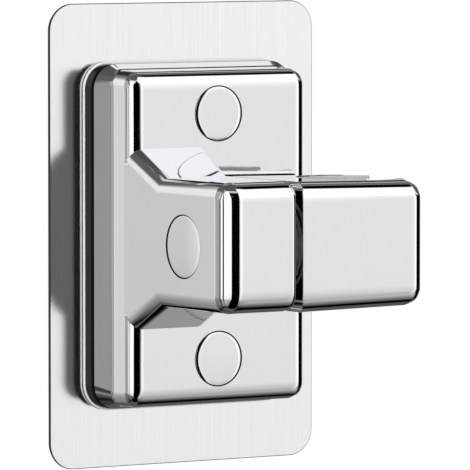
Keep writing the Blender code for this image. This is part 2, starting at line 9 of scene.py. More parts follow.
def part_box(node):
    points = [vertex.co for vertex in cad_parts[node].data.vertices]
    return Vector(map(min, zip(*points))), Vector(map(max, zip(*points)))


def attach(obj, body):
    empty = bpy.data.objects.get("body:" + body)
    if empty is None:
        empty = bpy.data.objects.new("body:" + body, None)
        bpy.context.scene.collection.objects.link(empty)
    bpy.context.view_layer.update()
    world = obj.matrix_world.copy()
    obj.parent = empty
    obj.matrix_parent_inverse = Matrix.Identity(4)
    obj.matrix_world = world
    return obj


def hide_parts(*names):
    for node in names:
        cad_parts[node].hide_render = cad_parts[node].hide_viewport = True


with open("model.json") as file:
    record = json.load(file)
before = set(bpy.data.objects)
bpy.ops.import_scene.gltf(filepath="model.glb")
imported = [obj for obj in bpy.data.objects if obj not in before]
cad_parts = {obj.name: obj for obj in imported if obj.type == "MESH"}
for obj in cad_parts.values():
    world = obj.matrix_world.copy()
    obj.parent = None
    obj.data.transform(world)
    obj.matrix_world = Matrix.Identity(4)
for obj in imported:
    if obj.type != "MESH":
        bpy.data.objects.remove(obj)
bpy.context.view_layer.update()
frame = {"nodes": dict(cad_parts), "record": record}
MM = 0.001


# Camera. It stands to the left of the holder and a little above it, with a long lens, so that
# upright edges stay upright. Its place was worked out from the plate's corners in the photograph.
CAMERA_TURN = math.radians(33)
CAMERA_RISE = math.radians(3.63)
CAMERA_FAR = 1.643
CAMERA_AIM = Vector((0.0169, -0.0021, -0.00122))
SENSOR_W = 36.0
LENS = 461.5

forward = Vector((math.sin(CAMERA_TURN) * math.cos(CAMERA_RISE),
                  math.cos(CAMERA_TURN) * math.cos(CAMERA_RISE),
                  -math.sin(CAMERA_RISE)))
sideways = Vector((math.cos(CAMERA_TURN), -math.sin(CAMERA_TURN), 0.0))
upwards = sideways.cross(forward)
camera_data = bpy.data.cameras.new("camera")
camera_data.sensor_width = SENSOR_W
camera_data.lens = LENS
camera_data.clip_end = 50.0
camera = bpy.data.objects.new("camera", camera_data)
bpy.context.scene.collection.objects.link(camera)
camera.matrix_world = Matrix((sideways, upwards, -forward)).transposed().to_4x4()
camera.matrix_world.translation = CAMERA_AIM - forward * CAMERA_FAR
bpy.context.scene.camera = camera
bpy.context.scene.view_settings.view_transform = "Standard"


# Studio. Chrome shows only what stands round it, so it was lit in a tent of white cloth with a few
# black flags, which give its bright faces and the dark lines along its edges. The flags are painted
# on the world for reflections alone. Everything else gets plain light, and the floor is pale.
TENT_WHITE = 1.28
PLAIN_LEVEL = 0.62
WHITE = (1.0, 1.0, 1.0, 1.0)
# The tent darkens towards the table: elevation in degrees, and the share of its light left there
LOW_FADE = ((-90, 0.12), (-62, 0.05), (-57, 0.01), (-55, 0.02), (-52, 0.065), (-48.5, 0.145),
            (-45, 0.18), (-42, 0.25), (-37, 0.36), (-26, 0.52), (-14, 0.75), (-8, 0.9), (-4, 1.0),
            (90, 1.0))
# Each flag: name, level, azimuth from and to, elevation from and to, and how soft its edges are
# in azimuth and in elevation, all in degrees. Azimuth 0 is straight out of the wall, and grows
# towards the socket.
FLAGS = (
    ("front grey", 0.93, 29, 39.5, -70, 6, 1.5, 7.0),
    ("front left black", 0.0, -17, 26.5, -70, 40, 1.5, 6.0),
    ("front left top", 0.11, -60, 27, 45, 60, 3.0, 3.0),
    ("right black", 0.0, 72, 106, -70, 16, 4.0, 6.0),
    ("right edge black", 0.0, 46, 78, -28, 16, 2.5, 6.0),
    ("right far", 0.13, 102, 134, -25, 14, 3.0, 3.0),
    ("right top dark", 0.12, 78, 135, 10, 44, 3.0, 3.0),
    ("left line", 0.0, -70, -61, -60, 50, 0.6, 6.0),
    ("left grey", 0.36, -96, -81, -60, 56, 1.0, 6.0),
    ("left black", 0.04, -100, -92.5, -60, 10, 1.5, 6.0),
    ("left shade", 0.45, -134, -100, -60, 30, 7.0, 6.0),
    ("back left light", 0.96, -180, -134, -60, 26, 4.0, 6.0),
    ("back left grey", 0.69, -180, -142.8, -60, 6, 5.5, 4.0),
    ("back right grey", 0.55, 130, 180, -50, 5.8, 5.0, 0.8),
    ("back right white", 1.1, 130, 180, 5.8, 9.4, 5.0, 0.8),
    ("back right shade", 0.12, 130, 180, 9.4, 19, 5.0, 0.8),
    ("back left dark", 0.13, -180, -72, 30, 70, 1.0, 8.0),
    ("back right dark", 0.03, 130, 180, 19, 42, 3.0, 3.0),
    ("top black", 0.0, 58, 92, 47, 62, 3.0, 3.0),
    ("top grey", 0.15, 92, 131, 44, 62, 3.0, 3.0),
    ("top window", 1.0, 120, 132, 46.6, 49.4, 1.0, 0.5),
    ("top back dark", 0.15, 137, 180, 42, 60, 3.0, 3.0),
    ("top left dark", 0.12, -180, 60, 56, 90, 4.0, 4.0),
    ("zenith dark", 0.1, -180, 180, 60, 90, 1.0, 3.0),
)
# Where chrome mirrors chrome, it shows the camera's dark side and a light above the wall. Only
# reflections of reflections see these.
SECOND_FLAGS = (
    ("camera", 0.14, -48, 0, -70, 40, 3.0, 6.0),
    ("taper light", 1.0, 125, 160, 20, 50, 3.0, 4.0),
)
SECOND_DEPTH = 2.5
LOW_BACK = ("low back grey", 0.1, 100, 180, -58, -20, 4.0, 3.0)
# Each lamp: name, place, size and power
LAMPS = (
    ("key_lamp", (-1.3, -0.9, 0.9), 0.9, 18.0),
    ("fill_lamp", (1.2, -1.1, 0.6), 0.9, 5.0),
    ("back_lamp", (0.3, 1.3, 0.9), 0.9, 5.0),
)
FLOOR_DROP = 1.3
FLOOR_SIZE = 6.0


def add_node(tree, kind, sockets=None, **settings):
    """Adds one node with its settings, and sets or links the sockets that are named."""
    node = tree.nodes.new(kind)
    for name, value in settings.items():
        setattr(node, name, value)
    for name, value in (sockets or {}).items():
        if isinstance(value, bpy.types.NodeSocket):
            tree.links.new(value, node.inputs[name])
        else:
            node.inputs[name].default_value = value
    return node


def linear(code):
    """The linear colour of an sRGB hex value such as #E8E9ED."""
    channels = [int(code[place:place + 2], 16) / 255 for place in (1, 3, 5)]
    return (*[c / 12.92 if c <= 0.04045 else ((c + 0.055) / 1.055) ** 2.4 for c in channels], 1.0)


world = bpy.data.worlds.new("light tent")
bpy.context.scene.world = world
world.use_nodes = True
tent = world.node_tree
tent.nodes.clear()
towards = add_node(tent, "ShaderNodeTexCoord").outputs["Generated"]
parts = add_node(tent, "ShaderNodeSeparateXYZ", {"Vector": towards}).outputs
out_of_wall = add_node(tent, "ShaderNodeMath", {0: parts["Y"], 1: -1.0}, operation="MULTIPLY").outputs[0]
turn = add_node(tent, "ShaderNodeMath", {0: parts["X"], 1: out_of_wall}, operation="ARCTAN2").outputs[0]
turn = add_node(tent, "ShaderNodeMath", {0: turn}, operation="DEGREES").outputs[0]
rise = add_node(tent, "ShaderNodeMath", {0: parts["Z"]}, operation="ARCSINE").outputs[0]
rise = add_node(tent, "ShaderNodeMath", {0: rise}, operation="DEGREES").outputs[0]

rise_share = add_node(tent, "ShaderNodeMapRange", {"Value": rise, "From Min": -90.0, "From Max": 90.0})
fade = add_node(tent, "ShaderNodeValToRGB", {"Fac": rise_share.outputs[0]})
ramp = fade.color_ramp
while len(ramp.elements) < len(LOW_FADE):
    ramp.elements.new(0.5)
for element, (degrees, share) in zip(ramp.elements, LOW_FADE):
    element.position = (degrees + 90) / 180
    element.color = (share, share, share, 1.0)


def hang_flag(level, flag):
    """The tent's level with one more flag hung in it."""
    label, strength, turn_from, turn_to, rise_from, rise_to, turn_soft, rise_soft = flag
    share = 1.0
    for angle, start, end, soft in ((turn, turn_from, turn_to, turn_soft),
                                    (rise, rise_from, rise_to, rise_soft)):
        for edge, inwards in ((start, 1), (end, -1)):
            if abs(edge) == 180:
                continue
            side = add_node(tent, "ShaderNodeMapRange",
                            {"Value": angle, "From Min": edge - inwards * soft,
                             "From Max": edge + inwards * soft},
                            interpolation_type="SMOOTHSTEP").outputs[0]
            share = add_node(tent, "ShaderNodeMath", {0: share, 1: side}, operation="MULTIPLY").outputs[0]
    return add_node(tent, "ShaderNodeMix", {"Factor": share, "A": level, "B": strength},
                    data_type="FLOAT", label=label).outputs[0]


level = TENT_WHITE
for flag in FLAGS:
    level = hang_flag(level, flag)
level = add_node(tent, "ShaderNodeMath", {0: fade.outputs[0], 1: level}, operation="MULTIPLY").outputs[0]
level = hang_flag(level, LOW_BACK)
ray = add_node(tent, "ShaderNodeLightPath").outputs
twice = add_node(tent, "ShaderNodeMath", {0: ray["Ray Depth"], 1: SECOND_DEPTH},
                 operation="GREATER_THAN").outputs[0]
again = level
for flag in SECOND_FLAGS:
    again = hang_flag(again, flag)
level = add_node(tent, "ShaderNodeMix", {"Factor": twice, "A": level, "B": again},
                 data_type="FLOAT").outputs[0]

plain = add_node(tent, "ShaderNodeBackground", {"Color": WHITE, "Strength": PLAIN_LEVEL})
shown = add_node(tent, "ShaderNodeBackground", {"Color": WHITE, "Strength": 1.0})
mirrored = add_node(tent, "ShaderNodeBackground", {"Color": WHITE, "Strength": level})
seen = add_node(tent, "ShaderNodeMixShader", {0: ray["Is Glossy Ray"], 1: plain.outputs[0],
                                              2: mirrored.outputs[0]})
through = add_node(tent, "ShaderNodeMath", {0: ray["Is Camera Ray"], 1: ray["Is Transmission Ray"]},
                   operation="MAXIMUM")
seen = add_node(tent, "ShaderNodeMixShader", {0: through.outputs[0], 1: seen.outputs[0],
                                              2: shown.outputs[0]})
add_node(tent, "ShaderNodeOutputWorld", {"Surface": seen.outputs[0]})

for name, place, size, power in LAMPS:
    lamp_data = bpy.data.lights.new(name, "AREA")
    lamp_data.size = size
    lamp_data.energy = power
    lamp = bpy.data.objects.new(name, lamp_data)
    bpy.context.scene.collection.objects.link(lamp)
    lamp.location = place
    lamp.rotation_euler = Vector(place).to_track_quat("Z", "Y").to_euler()
    lamp.visible_glossy = False

bpy.ops.object.select_all(action="DESELECT")
bpy.ops.mesh.primitive_plane_add(size=FLOOR_SIZE, location=(0.0, 0.0, -FLOOR_DROP))
floor = bpy.context.object
floor.name = "studio_floor"
floor.visible_glossy = False
matt = bpy.data.materials.new("pale matt paper")
matt.use_nodes = True
matt.node_tree.nodes["Principled BSDF"].inputs["Base Color"].default_value = linear("#F4F4F2")
matt.node_tree.nodes["Principled BSDF"].inputs["Roughness"].default_value = 0.9
floor.data.materials.append(matt)


# Adhesive pad. A die-cut sheet of closed-cell acrylic foam, a little smaller than the plate, whose
# tacky back holds the whole fitting on the tiles. Its cut side shows as a dark line round the plate.
PAD_CORNER_R = 6.6 * MM
PAD_EDGE_R = 0.3 * MM
CORNER_STEPS = 20
PAD_CELL = 0.35 * MM


def pick(kind, test):
    """In edit mode, selects the points, edges or faces that pass a test, and nothing else."""
    bpy.ops.mesh.select_mode(type=kind)
    bpy.ops.mesh.select_all(action="DESELECT")
    shape = bmesh.from_edit_mesh(bpy.context.object.data)
    shape.normal_update()
    for item in {"VERT": shape.verts, "EDGE": shape.edges, "FACE": shape.faces}[kind]:
        item.select_set(bool(test(item)))
    shape.select_flush_mode()
    bmesh.update_edit_mesh(bpy.context.object.data)


def middle(edge):
    return (edge.verts[0].co + edge.verts[1].co) / 2


def along(edge):
    return (edge.verts[1].co - edge.verts[0].co).normalized()


def settle(piece, angle=math.radians(32)):
    """Puts a piece's place into its mesh, turns its faces outwards and shades it by angle."""
    if bpy.context.mode != "EDIT_MESH":
        bpy.ops.object.mode_set(mode="EDIT")
    bpy.ops.mesh.select_all(action="SELECT")
    bpy.ops.mesh.remove_doubles(threshold=1e-7)
    bpy.ops.mesh.normals_make_consistent(inside=False)
    bpy.ops.object.mode_set(mode="OBJECT")
    bpy.ops.object.transform_apply(location=True, rotation=True, scale=True)
    bpy.ops.object.shade_smooth_by_angle(angle=angle)
    weigh = piece.modifiers.new("face normals", "WEIGHTED_NORMAL")
    weigh.keep_sharp = True
    bpy.ops.object.modifier_apply(modifier=weigh.name)


def rounded_slab(name, low, high, corner):
    """A slab that lies flat on the wall, from a sheet with rounded corners drawn out towards us."""
    bpy.ops.object.select_all(action="DESELECT")
    centre = (low + high) / 2
    bpy.ops.mesh.primitive_plane_add(size=1.0, location=(centre.x, high.y, centre.z),
                                     rotation=(math.pi / 2, 0.0, 0.0))
    slab = bpy.context.object
    slab.name = name
    slab.scale = (high.x - low.x, high.z - low.z, 1.0)
    bpy.ops.object.transform_apply(location=True, rotation=True, scale=True)
    bpy.ops.object.mode_set(mode="EDIT")
    bpy.ops.mesh.bevel(offset=corner, segments=CORNER_STEPS, affect="VERTICES", clamp_overlap=False)
    bpy.ops.mesh.select_all(action="SELECT")
    bpy.ops.mesh.extrude_region_move(TRANSFORM_OT_translate={"value": (0.0, low.y - high.y, 0.0)})
    bpy.ops.mesh.select_all(action="SELECT")
    bpy.ops.mesh.normals_make_consistent(inside=False)
    return slab


def round_rims(width, segments, test=lambda edge: True):
    """In edit mode, rounds the sharp edges that pass a test."""
    pick("EDGE", lambda e: len(e.link_faces) == 2 and e.calc_face_angle(0.0) > math.radians(40) and test(e))
    bpy.ops.mesh.bevel(offset=width, segments=segments, clamp_overlap=False)


def new_finish(name, base, metallic, roughness):
    """A material with one shader, and its tree, its shader and the piece's own coordinates."""
    material = bpy.data.materials.new(name)
    material.use_nodes = True
    tree = material.node_tree
    shader = tree.nodes["Principled BSDF"]
    shader.inputs["Base Color"].default_value = linear(base)
    shader.inputs["Metallic"].default_value = metallic
    shader.inputs["Roughness"].default_value = roughness
    place = add_node(tree, "ShaderNodeTexCoord").outputs["Object"]
    return material, tree, shader, place


def dress(piece, body, slot, *materials):
    """Gives a piece its materials and hangs it on the body it rides on; the slot argument is not used."""
    piece.data.materials.clear()
    for material in materials:
        piece.data.materials.append(material)
    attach(piece, body)


pad_low, pad_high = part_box("adhesive_pad")
pad = rounded_slab("adhesive_pad_foam", pad_low, pad_high, PAD_CORNER_R)
round_rims(PAD_EDGE_R, 3)
settle(pad)

# Closed-cell foam, cut with a die: matt charcoal, its side pitted by cells of about a third of a
# millimetre.
foam, tree, shader, place = new_finish("charcoal acrylic foam", "#2B2B2E", 0.0, 0.82)
cells = add_node(tree, "ShaderNodeTexVoronoi", {"Vector": place, "Scale": 1 / PAD_CELL})
tint = add_node(tree, "ShaderNodeMapRange", {"Value": cells.outputs["Distance"], "From Max": 0.8,
                                             "To Min": 0.0, "To Max": 1.0})
shade = add_node(tree, "ShaderNodeMix", {"Factor": tint.outputs[0]}, data_type="RGBA")
shade.inputs[6].default_value = linear("#1C1C1F")
shade.inputs[7].default_value = linear("#3A3A3E")
tree.links.new(shade.outputs[2], shader.inputs["Base Color"])
pits = add_node(tree, "ShaderNodeBump", {"Height": cells.outputs["Distance"], "Strength": 0.6,
                                         "Distance": 0.08 * MM})
tree.links.new(pits.outputs[0], shader.inputs["Normal"])
dress(pad, "root", "pad_foam", foam)
pad.visible_glossy = False
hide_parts("adhesive_pad")


# Mounting plate. Stainless sheet 0.8 mm thick, laser cut with round corners and brushed up and down.
# Two studs are welded to its front, and the pad is stuck to its whole back.
PLATE_CORNER_R = 7.2 * MM
PLATE_EDGE_R = 0.2 * MM
BRUSH_GAP = 0.3 * MM
BRUSH_LENGTH = 40 * MM
CUT_GRAIN = 0.12 * MM
FLAT_FACE = 0.98

plate_low, plate_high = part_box("mounting_plate")
plate = rounded_slab("mounting_plate_brushed", plate_low, plate_high, PLATE_CORNER_R)
round_rims(PLATE_EDGE_R, 3)
settle(plate)

# Brushed stainless: pale grey metal with fine upright scratches, which draw reflections out sideways.
brushed, tree, shader, place = new_finish("brushed stainless steel", "#F8F8FA", 1.0, 0.16)
drawn = add_node(tree, "ShaderNodeMapping", {"Vector": place,
                                             "Scale": (1 / BRUSH_GAP, 1 / BRUSH_GAP, 1 / BRUSH_LENGTH)})
streaks = add_node(tree, "ShaderNodeTexNoise", {"Vector": drawn.outputs[0], "Scale": 1.0, "Detail": 4.0,
                                                "Roughness": 0.7})
tone = add_node(tree, "ShaderNodeMapRange", {"Value": streaks.outputs["Fac"], "From Min": 0.3,
                                             "From Max": 0.7})
shade = add_node(tree, "ShaderNodeMix", {"Factor": tone.outputs[0]}, data_type="RGBA")
shade.inputs[6].default_value = linear("#F0F1F3")
shade.inputs[7].default_value = linear("#FFFFFF")
tree.links.new(shade.outputs[2], shader.inputs["Base Color"])
gloss = add_node(tree, "ShaderNodeMapRange", {"Value": streaks.outputs["Fac"], "From Min": 0.3,
                                              "From Max": 0.7, "To Min": 0.12, "To Max": 0.2})
tree.links.new(gloss.outputs[0], shader.inputs["Roughness"])
scratches = add_node(tree, "ShaderNodeBump", {"Height": streaks.outputs["Fac"], "Strength": 0.2,
                                              "Distance": 0.02 * MM})
tree.links.new(scratches.outputs[0], shader.inputs["Normal"])

# The laser leaves the sheet's narrow edge dark and finely ribbed.
cut_edge, tree, shader, place = new_finish("laser-cut steel edge", "#4A4B4E", 1.0, 0.5)
ribs = add_node(tree, "ShaderNodeTexNoise", {"Vector": place, "Scale": 1 / CUT_GRAIN, "Detail": 3.0})
burr = add_node(tree, "ShaderNodeBump", {"Height": ribs.outputs["Fac"], "Strength": 0.5,
                                         "Distance": 0.02 * MM})
tree.links.new(burr.outputs[0], shader.inputs["Normal"])
dress(plate, "root", "plate_steel", brushed, cut_edge)
plate.visible_glossy = False
for face in plate.data.polygons:
    face.material_index = 0 if abs(face.normal.y) > FLAT_FACE else 1
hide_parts("mounting_plate")


# Base seal. A flat ring of pale silicone between the plate and the base, which keeps water off the
# studs. It shows as a light line behind the dark frame.
SEAL_CORNER_R = 7.5 * MM
SEAL_EDGE_R = 0.25 * MM
SEAL_BAND = 4.7 * MM
SEAL_PROUD = 0.7 * MM

seal_low, seal_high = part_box("base_gasket")
proud = Vector((SEAL_PROUD, 0.0, SEAL_PROUD))
seal_low, seal_high = seal_low - proud, seal_high + proud
seal = rounded_slab("base_gasket_seal", seal_low, seal_high, SEAL_CORNER_R)
pick("FACE", lambda f: abs(f.normal.y) > 0.9)
bpy.ops.mesh.inset(thickness=SEAL_BAND, use_individual=True)
bpy.ops.mesh.bridge_edge_loops()
round_rims(SEAL_EDGE_R, 3)
settle(seal)

# Moulded silicone: soft satin, very slightly mottled.
silicone, tree, shader, place = new_finish("pale moulded silicone", "#EDEEF0", 0.0, 0.45)
mottle = add_node(tree, "ShaderNodeTexNoise", {"Vector": place, "Scale": 1 / (1.5 * MM), "Detail": 3.0})
shade = add_node(tree, "ShaderNodeMix", {"Factor": mottle.outputs["Fac"]}, data_type="RGBA")
shade.inputs[6].default_value = linear("#F4F5F6")
shade.inputs[7].default_value = linear("#FFFFFF")
tree.links.new(shade.outputs[2], shader.inputs["Base Color"])
dress(seal, "root", "seal_rubber", silicone)
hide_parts("base_gasket")


# Rear frame. Black ABS, moulded, screwed into the back of the chromed shell. Only its polished rim
# shows, between the seal and the shell. It is drilled for the studs and the four screws.
FRAME_CORNER_R = 6.8 * MM
FRAME_EDGE_R = 0.25 * MM
FRAME_RIM_T = 3.3 * MM
FRAME_PROUD = 0.7 * MM
STUD_X, STUD_Z = 0.0, 33.0 * MM
STUD_HOLE_R = 2.8 * MM
BOSS_R = 9.55 * MM
SCREW_X, SCREW_Z = 21.0 * MM, 36.0 * MM
SCREW_HOLE_R = 1.75 * MM
DRILL_START, DRILL_END = 2 * MM, 9 * MM


def rod(name, start, end, radius, segments=64):
    """A plain round bar between two points, used to drill with and to build up bosses."""
    bpy.ops.object.select_all(action="DESELECT")
    direction = end - start
    turn_to = direction.to_track_quat("Z", "Y").to_euler()
    bpy.ops.mesh.primitive_cylinder_add(vertices=segments, radius=radius, depth=direction.length,
                                        location=(start + end) / 2, rotation=turn_to)
    bar = bpy.context.object
    bar.name = name
    bpy.ops.object.transform_apply(location=True, rotation=True, scale=True)
    return bar


def combine(piece, tool, operation):
    """Joins another shape to a piece or cuts it away, and throws the other shape away."""
    bpy.ops.object.select_all(action="DESELECT")
    piece.select_set(True)
    bpy.context.view_layer.objects.active = piece
    boolean = piece.modifiers.new(tool.name, "BOOLEAN")
    boolean.operation = operation
    boolean.solver = "EXACT"
    boolean.object = tool
    bpy.ops.object.modifier_apply(modifier=boolean.name)
    bpy.data.objects.remove(tool, do_unlink=True)


rim_low, rim_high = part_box("rear_frame")
front = Vector((0.0, -1.0, 0.0))
rim_high.x += FRAME_PROUD
rim_front_low = Vector((rim_low.x - FRAME_PROUD, rim_high.y - FRAME_RIM_T, rim_low.z))
rim = rounded_slab("rear_frame_moulding", rim_front_low, rim_high, FRAME_CORNER_R)
round_rims(FRAME_EDGE_R, 5)
bpy.ops.object.mode_set(mode="OBJECT")
for height in (STUD_Z, -STUD_Z):
    hole = Vector((STUD_X, 0.0, height))
    combine(rim, rod("drill", hole + front * DRILL_START, hole + front * DRILL_END, STUD_HOLE_R),
            "DIFFERENCE")
for across in (SCREW_X, -SCREW_X):
    for height in (SCREW_Z, -SCREW_Z):
        hole = Vector((across, 0.0, height))
        combine(rim, rod("drill", hole + front * DRILL_START, hole + front * DRILL_END, SCREW_HOLE_R),
                "DIFFERENCE")
settle(rim)

# Glossy black ABS: deep black with a soft sheen and a faint moulding ripple.
black_abs, tree, shader, place = new_finish("glossy black ABS", "#111113", 0.0, 0.16)
shader.inputs["Specular IOR Level"].default_value = 0.15
ripple = add_node(tree, "ShaderNodeTexNoise", {"Vector": place, "Scale": 1 / (4 * MM), "Detail": 2.0})
sheen = add_node(tree, "ShaderNodeMapRange", {"Value": ripple.outputs["Fac"], "To Min": 0.12,
                                              "To Max": 0.22})
tree.links.new(sheen.outputs[0], shader.inputs["Roughness"])
dress(rim, "root", "dark_plastic", black_abs)
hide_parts("rear_frame")


# Body shell. Base cover, flared root and arm are one ABS moulding, polished and plated with bright
# chrome. The cover's rim slopes out to the frame, and all its edges are drawn long and soft.
COVER_BACK_Y = -7.1 * MM
COVER_STEP_Y = -12.2 * MM
COVER_FRONT_Y = -20.0 * MM
COVER_BACK_W, COVER_BACK_H, COVER_BACK_R = 62.6 * MM, 92.6 * MM, 6.8 * MM
COVER_W, COVER_H, COVER_R = 56.6 * MM, 89.6 * MM, 4.2 * MM
COVER_DROP = 0.3 * MM
COVER_TOP_STEP_Y = -9.75 * MM
COVER_SIDE_R, COVER_TOP_R = 2.5 * MM, 3.0 * MM
COVER_BANDS, COVER_LEANS = (2.7 * MM, 2.7 * MM, 1.8 * MM, 2.4 * MM), (5, 4, 9, 7)
COVER_CROWN_DEPTH = 3.5 * MM
COVER_DRAFT = 2.0
CROWN_RINGS = 6
EDGE_STEPS = 14
STEP_R = 0.7 * MM
ARM_DROP = 0.4 * MM
ARM_W, ARM_H = 23.3 * MM, 33.8 * MM
ARM_RISE, ROOT_RISE = 0.6 * MM, 0.8 * MM
ARM_R, ARM_FRONT_R, ARM_TOP_R, ARM_BOTTOM_R = 4.2 * MM, 4.6 * MM, 3.9 * MM, 4.0 * MM
ARM_INNER_R, ARM_GAP_R = 3.0 * MM, 1.4 * MM
ARM_BANDS, ARM_LEANS = (2.5 * MM, 2.0 * MM, 2.0 * MM, 2.0 * MM), (4, 3, 6, 6)
ARM_CROWN_DEPTH = 5.0 * MM
ARM_FRONT_Y = -66.3 * MM
ROOT_W, ROOT_H = 24.6 * MM, 47.4 * MM
ROOT_END_Y = -33.8 * MM
ROOT_START_Y = -15.1 * MM
WALL = 2.4 * MM
CAP_HOLE_R = 7.55 * MM
CAP_HOLE_END_Y = -11.1 * MM
PIVOT_Y = -46.7 * MM
SIDE_HOLE_R = 8.5 * MM
SIDE_HOLE_END_X = -22.3 * MM
STACK_R = 7.1 * MM
STACK_END_X = -12.3 * MM
BUSH_HOLE_R = 5.3 * MM
BARREL_R = 10.5 * MM
CHROME_ANGLE = math.radians(24)


def block_between(name, low, high):
    """A plain box between two corners, left in edit mode to be shaped."""
    bpy.ops.object.select_all(action="DESELECT")
    bpy.ops.mesh.primitive_cube_add(size=1.0, location=(low + high) / 2)
    box = bpy.context.object
    box.name = name
    box.scale = high - low
    bpy.ops.object.transform_apply(location=True, rotation=True, scale=True)
    bpy.ops.object.mode_set(mode="EDIT")
    return box


def round_by(piece, width_of):
    """Rounds every edge by the width that a rule gives it, all at once, so that corners blend."""
    bpy.ops.object.mode_set(mode="OBJECT")
    mesh = piece.data
    weights = mesh.attributes.new("bevel_weight_edge", "FLOAT", "EDGE")
    widths = []
    for edge in mesh.edges:
        start, end = (mesh.vertices[index].co for index in edge.vertices)
        widths.append(width_of((start + end) / 2, (end - start).normalized()))
    widest = max(widths)
    for item, width in zip(weights.data, widths):
        item.value = width / widest
    bevel = piece.modifiers.new("rounding", "BEVEL")
    bevel.limit_method = "WEIGHT"
    bevel.width = widest
    bevel.segments = EDGE_STEPS
    bevel.use_clamp_overlap = False
    bpy.ops.object.modifier_apply(modifier=bevel.name)
    bpy.ops.object.mode_set(mode="EDIT")


def crown_front(piece, front_y, depth, low, high, bands, leans):
    """Lets a flat front fall away softly over a band along its left, right, lower and upper edges."""
    sides = ((0, 1, low), (0, -1, high), (2, 1, low), (2, -1, high))
    for (axis, inwards, corner), band in zip(sides, bands):
        for ring in range(CROWN_RINGS):
            across = Vector((0.0, 0.0, 0.0))
            across[axis] = inwards
            pick("FACE", lambda f: max(v.co.y for v in f.verts) < front_y + depth)
            bpy.ops.mesh.bisect(plane_co=corner + across * band * (ring + 1) / CROWN_RINGS, plane_no=across)
    bpy.ops.object.mode_set(mode="OBJECT")
    for point in piece.data.vertices:
        behind = point.co.y - front_y
        if behind > depth:
            continue
        fall = 0.0
        for (axis, inwards, corner), band, lean in zip(sides, bands, leans):
            slope = math.tan(math.radians(lean))
            reach = (point.co[axis] - corner[axis]) * inwards
            if reach < 0:
                fall += slope * (band / 2 - reach)
            elif reach < band:
                fall += slope * (band - reach) ** 2 / (2 * band)
        point.co.y += fall * (1 - behind / depth)
    bpy.ops.object.mode_set(mode="EDIT")


def near(value, target, within=0.05 * MM):
    return abs(value - target) < within


# The cover's upright part, with its front edges and corners rounded in one go
cover = block_between("body_shell_chromed",
                      Vector((-COVER_W / 2, COVER_FRONT_Y, -COVER_H / 2 - COVER_DROP)),
                      Vector((COVER_W / 2, COVER_STEP_Y, COVER_H / 2 - COVER_DROP)))


def cover_rounding(at, way):
    """Round corners, and front edges that are a little rounder above and below than at the sides."""
    if abs(way.y) > 0.5:
        return COVER_R
    if near(at.y, COVER_FRONT_Y):
        return COVER_SIDE_R if abs(way.z) > 0.5 else COVER_TOP_R
    return 0.0


round_by(cover, cover_rounding)
crown_front(cover, COVER_FRONT_Y, COVER_CROWN_DEPTH,
            Vector((COVER_SIDE_R - COVER_W / 2, 0.0, COVER_TOP_R - COVER_H / 2 - COVER_DROP)),
            Vector((COVER_W / 2 - COVER_SIDE_R, 0.0, COVER_H / 2 - COVER_TOP_R - COVER_DROP)),
            COVER_BANDS, COVER_LEANS)

# Above and below, the upright part reaches further back than at its sides. The mould's draft makes
# it wider towards the wall
bpy.ops.object.mode_set(mode="OBJECT")
draft = math.tan(math.radians(COVER_DRAFT))
for point in cover.data.vertices:
    round_corner = (abs(point.co.z + COVER_DROP) - COVER_H / 2 + COVER_R) / COVER_R
    if near(point.co.y, COVER_STEP_Y) and round_corner > 0:
        turned = math.asin(min(round_corner, 1.0)) / (math.pi / 2)
        point.co.y += turned * (COVER_TOP_STEP_Y - COVER_STEP_Y)
for point in cover.data.vertices:
    spread = draft * max(point.co.y - COVER_FRONT_Y - COVER_SIDE_R, 0.0)
    point.co.x += math.copysign(spread, point.co.x)
    point.co.z += math.copysign(spread, point.co.z)
bpy.ops.object.mode_set(mode="EDIT")

# Its sloping rim, drawn from the front part's open back to the wider outline on the frame
pick("FACE", lambda f: f.normal.y > 0.9)
bpy.ops.mesh.delete(type="FACE")
bpy.ops.mesh.primitive_plane_add(size=1.0, location=(0.0, COVER_BACK_Y, 0.0),
                                 rotation=(math.pi / 2, 0.0, 0.0))
bpy.ops.transform.resize(value=(COVER_BACK_W, 1.0, COVER_BACK_H))
bpy.ops.mesh.bevel(offset=COVER_BACK_R, segments=EDGE_STEPS, affect="VERTICES", clamp_overlap=False)
pick("FACE", lambda f: all(near(v.co.y, COVER_BACK_Y) for v in f.verts))
bpy.ops.mesh.delete(type="ONLY_FACE")
pick("EDGE", lambda e: len(e.link_faces) < 2)
bpy.ops.mesh.bridge_edge_loops()
pick("EDGE", lambda e: len(e.link_faces) < 2)
bpy.ops.mesh.edge_face_add()
pick("EDGE", lambda e: abs(along(e).y) < 0.7
     and all(COVER_STEP_Y - 0.05 * MM < v.co.y < COVER_TOP_STEP_Y + 0.05 * MM for v in e.verts))
bpy.ops.mesh.bevel(offset=STEP_R, segments=4, clamp_overlap=False)
bpy.ops.mesh.select_all(action="SELECT")
bpy.ops.mesh.normals_make_consistent(inside=False)
bpy.ops.object.mode_set(mode="OBJECT")

# The arm and its flared root, drawn back from the arm's front into the cover
arm_left = -COVER_W / 2
arm_right = arm_left + ARM_W
arm = block_between("arm", Vector((arm_left, ARM_FRONT_Y, -ARM_H / 2 - ARM_DROP)),
                    Vector((arm_right, ROOT_END_Y, ARM_H / 2 - ARM_DROP + ARM_RISE)))
for target_y in (COVER_FRONT_Y, ROOT_START_Y):
    pick("FACE", lambda f: f.normal.y > 0.9)
    bpy.ops.mesh.extrude_region_move(TRANSFORM_OT_translate={"value": (0.0, 0.0, 0.0)})
    shape = bmesh.from_edit_mesh(arm.data)
    for point in [v for v in shape.verts if v.select]:
        point.co.y = target_y
        point.co.x = arm_left if near(point.co.x, arm_left) else arm_left + ROOT_W
        rise_by = ROOT_RISE if point.co.z > 0 else 0.0
        point.co.z = math.copysign(ROOT_H / 2, point.co.z) - ARM_DROP + rise_by
    bmesh.update_edit_mesh(arm.data)
